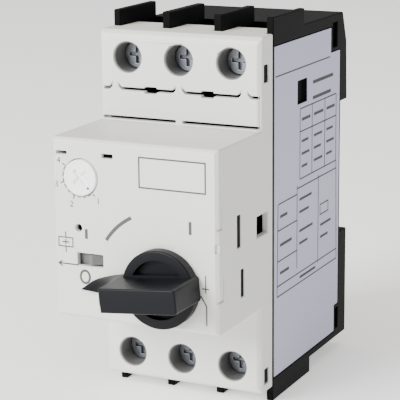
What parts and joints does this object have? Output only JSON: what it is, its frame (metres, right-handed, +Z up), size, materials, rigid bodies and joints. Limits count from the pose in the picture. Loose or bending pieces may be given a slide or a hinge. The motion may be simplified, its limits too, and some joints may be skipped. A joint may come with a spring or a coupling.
{
  "type": "motor protection breaker",
  "caption": "Motor protection breaker for a 35 mm rail, with a rotary handle, current dial, test slider, screw terminals and contact mechanism.",
  "frame": {"origin": "middle of the rail seat at the back, on the plane that rests on the rail", "axes": "+X to the device's right as seen from the front, +Y from the front to the back, +Z up"},
  "size_m": [0.045, 0.0991, 0.1008],
  "materials": {
    "cover": "fine matte",
    "base": "fine matte",
    "knob": "satin",
    "dial": "smooth",
    "slider": "smooth",
    "carrier": "smooth",
    "label": "printed film",
    "steel": "zinc plated",
    "copper": "bare copper",
    "spring": "drawn wire",
    "winding": "enamelled copper",
    "fibre": "fibre board and steel plates"
  },
  "bodies": {
    "case": {"front_cover": "cover", "base_housing": "base", "side_label": "label", "mechanism_frame": "steel", "latch_pin": "spring", "carrier_spring": "spring", "rail_foot_spring": "spring", "line_contact_1": "copper", "line_contact_2": "copper", "line_contact_3": "copper", "coil_contact_1": "copper", "coil_contact_2": "copper", "coil_contact_3": "copper", "load_contact_1": "copper", "load_contact_2": "copper", "load_contact_3": "copper", "magnet_yoke_1": "steel", "magnet_yoke_2": "steel", "magnet_yoke_3": "steel", "magnet_coil_1": "winding", "magnet_coil_2": "winding", "magnet_coil_3": "winding", "bimetal_strip_1": "steel", "bimetal_strip_2": "steel", "bimetal_strip_3": "steel", "heater_winding_1": "winding", "heater_winding_2": "winding", "heater_winding_3": "winding", "arc_chute_1": "fibre", "arc_chute_2": "fibre", "arc_chute_3": "fibre"},
    "knob": {"rotary_knob": "knob", "knob_shaft": "steel"},
    "dial": {"current_dial": "dial"},
    "slider": {"test_slider": "slider"},
    "trip": {"trip_bar": "carrier"},
    "latch": {"trip_latch": "steel"},
    "carrier": {"contact_carrier": "carrier", "contact_bridge_1": "copper", "contact_bridge_2": "copper", "contact_bridge_3": "copper", "contact_spring_1": "spring", "contact_spring_2": "spring", "contact_spring_3": "spring"},
    "foot": {"rail_foot": "base"},
    "plunger_1": {"magnet_plunger_1": "steel"},
    "line_screw_1": {"line_screw_1": "steel"},
    "line_clamp_1": {"line_clamp_1": "steel"},
    "load_screw_1": {"load_screw_1": "steel"},
    "load_clamp_1": {"load_clamp_1": "steel"},
    "plunger_2": {"magnet_plunger_2": "steel"},
    "line_screw_2": {"line_screw_2": "steel"},
    "line_clamp_2": {"line_clamp_2": "steel"},
    "load_screw_2": {"load_screw_2": "steel"},
    "load_clamp_2": {"load_clamp_2": "steel"},
    "plunger_3": {"magnet_plunger_3": "steel"},
    "line_screw_3": {"line_screw_3": "steel"},
    "line_clamp_3": {"line_clamp_3": "steel"},
    "load_screw_3": {"load_screw_3": "steel"},
    "load_clamp_3": {"load_clamp_3": "steel"}
  },
  "joints": [
    {"name": "knob_turn", "type": "hinge", "parent": "case", "child": "knob", "pos_m": [0.0078, -0.0801, -0.0151], "axis": [0, 1, 0], "range_deg": [0, 95]},
    {"name": "dial_turn", "type": "hinge", "parent": "case", "child": "dial", "pos_m": [-0.0146, -0.0801, 0.01015], "axis": [0, 1, 0], "range_deg": [0, 165]},
    {"name": "test_slide", "type": "slide", "parent": "case", "child": "slider", "axis": [-1, 0, 0], "range_m": [0, 0.0024], "stiffness_N_per_m": 50, "springref_m": -0.001},
    {"name": "trip_slide", "type": "slide", "parent": "case", "child": "trip", "axis": [-1, 0, 0], "range_m": [0, 0.0024]},
    {"name": "latch_turn", "type": "hinge", "parent": "case", "child": "latch", "pos_m": [0.0035, -0.0596, -0.004], "axis": [0, 1, 0], "range_deg": [0, 15]},
    {"name": "carrier_slide", "type": "slide", "parent": "case", "child": "carrier", "axis": [0, 1, 0], "range_m": [0, 0.0029], "deforming": ["carrier_spring"]},
    {"name": "foot_slide", "type": "slide", "parent": "case", "child": "foot", "axis": [0, 0, -1], "range_m": [0, 0.0028], "stiffness_N_per_m": 400, "springref_m": -0.002, "deforming": ["rail_foot_spring"]},
    {"name": "plunger_slide_1", "type": "slide", "parent": "case", "child": "plunger_1", "axis": [0, -1, 0], "range_m": [0, 0.002], "stiffness_N_per_m": 60, "springref_m": -0.001},
    {"name": "line_screw_turn_1", "type": "hinge", "parent": "case", "child": "line_screw_1", "pos_m": [-0.0145, -0.0444, 0.03635], "axis": [0, 1, 0], "range_deg": [0, 1800]},
    {"name": "line_clamp_slide_1", "type": "slide", "parent": "case", "child": "line_clamp_1", "axis": [0, -1, 0], "range_m": [0, 0.0035]},
    {"name": "load_screw_turn_1", "type": "hinge", "parent": "case", "child": "load_screw_1", "pos_m": [-0.0145, -0.0444, -0.04235], "axis": [0, 1, 0], "range_deg": [0, 1800]},
    {"name": "load_clamp_slide_1", "type": "slide", "parent": "case", "child": "load_clamp_1", "axis": [0, -1, 0], "range_m": [0, 0.0035]},
    {"name": "plunger_slide_2", "type": "slide", "parent": "case", "child": "plunger_2", "axis": [0, -1, 0], "range_m": [0, 0.002], "stiffness_N_per_m": 60, "springref_m": -0.001},
    {"name": "line_screw_turn_2", "type": "hinge", "parent": "case", "child": "line_screw_2", "pos_m": [0, -0.0444, 0.03635], "axis": [0, 1, 0], "range_deg": [0, 1800]},
    {"name": "line_clamp_slide_2", "type": "slide", "parent": "case", "child": "line_clamp_2", "axis": [0, -1, 0], "range_m": [0, 0.0035]},
    {"name": "load_screw_turn_2", "type": "hinge", "parent": "case", "child": "load_screw_2", "pos_m": [0, -0.0444, -0.04235], "axis": [0, 1, 0], "range_deg": [0, 1800]},
    {"name": "load_clamp_slide_2", "type": "slide", "parent": "case", "child": "load_clamp_2", "axis": [0, -1, 0], "range_m": [0, 0.0035]},
    {"name": "plunger_slide_3", "type": "slide", "parent": "case", "child": "plunger_3", "axis": [0, -1, 0], "range_m": [0, 0.002], "stiffness_N_per_m": 60, "springref_m": -0.001},
    {"name": "line_screw_turn_3", "type": "hinge", "parent": "case", "child": "line_screw_3", "pos_m": [0.0145, -0.0444, 0.03635], "axis": [0, 1, 0], "range_deg": [0, 1800]},
    {"name": "line_clamp_slide_3", "type": "slide", "parent": "case", "child": "line_clamp_3", "axis": [0, -1, 0], "range_m": [0, 0.0035]},
    {"name": "load_screw_turn_3", "type": "hinge", "parent": "case", "child": "load_screw_3", "pos_m": [0.0145, -0.0444, -0.04235], "axis": [0, 1, 0], "range_deg": [0, 1800]},
    {"name": "load_clamp_slide_3", "type": "slide", "parent": "case", "child": "load_clamp_3", "axis": [0, -1, 0], "range_m": [0, 0.0035]}
  ],
  "couplings": [
    {"joint": "trip_slide", "follows": "test_slide", "ratio": 1},
    {"joint": "latch_turn", "follows": "test_slide", "rad_per_m": 109},
    {"joint": "carrier_slide", "follows": "knob_turn", "m_per_rad": 0.001749},
    {"joint": "line_screw_turn_1", "follows": "line_clamp_slide_1", "rad_per_m": 8975.9},
    {"joint": "load_screw_turn_1", "follows": "load_clamp_slide_1", "rad_per_m": 8975.9},
    {"joint": "line_screw_turn_2", "follows": "line_clamp_slide_2", "rad_per_m": 8975.9},
    {"joint": "load_screw_turn_2", "follows": "load_clamp_slide_2", "rad_per_m": 8975.9},
    {"joint": "line_screw_turn_3", "follows": "line_clamp_slide_3", "rad_per_m": 8975.9},
    {"joint": "load_screw_turn_3", "follows": "load_clamp_slide_3", "rad_per_m": 8975.9}
  ]
}
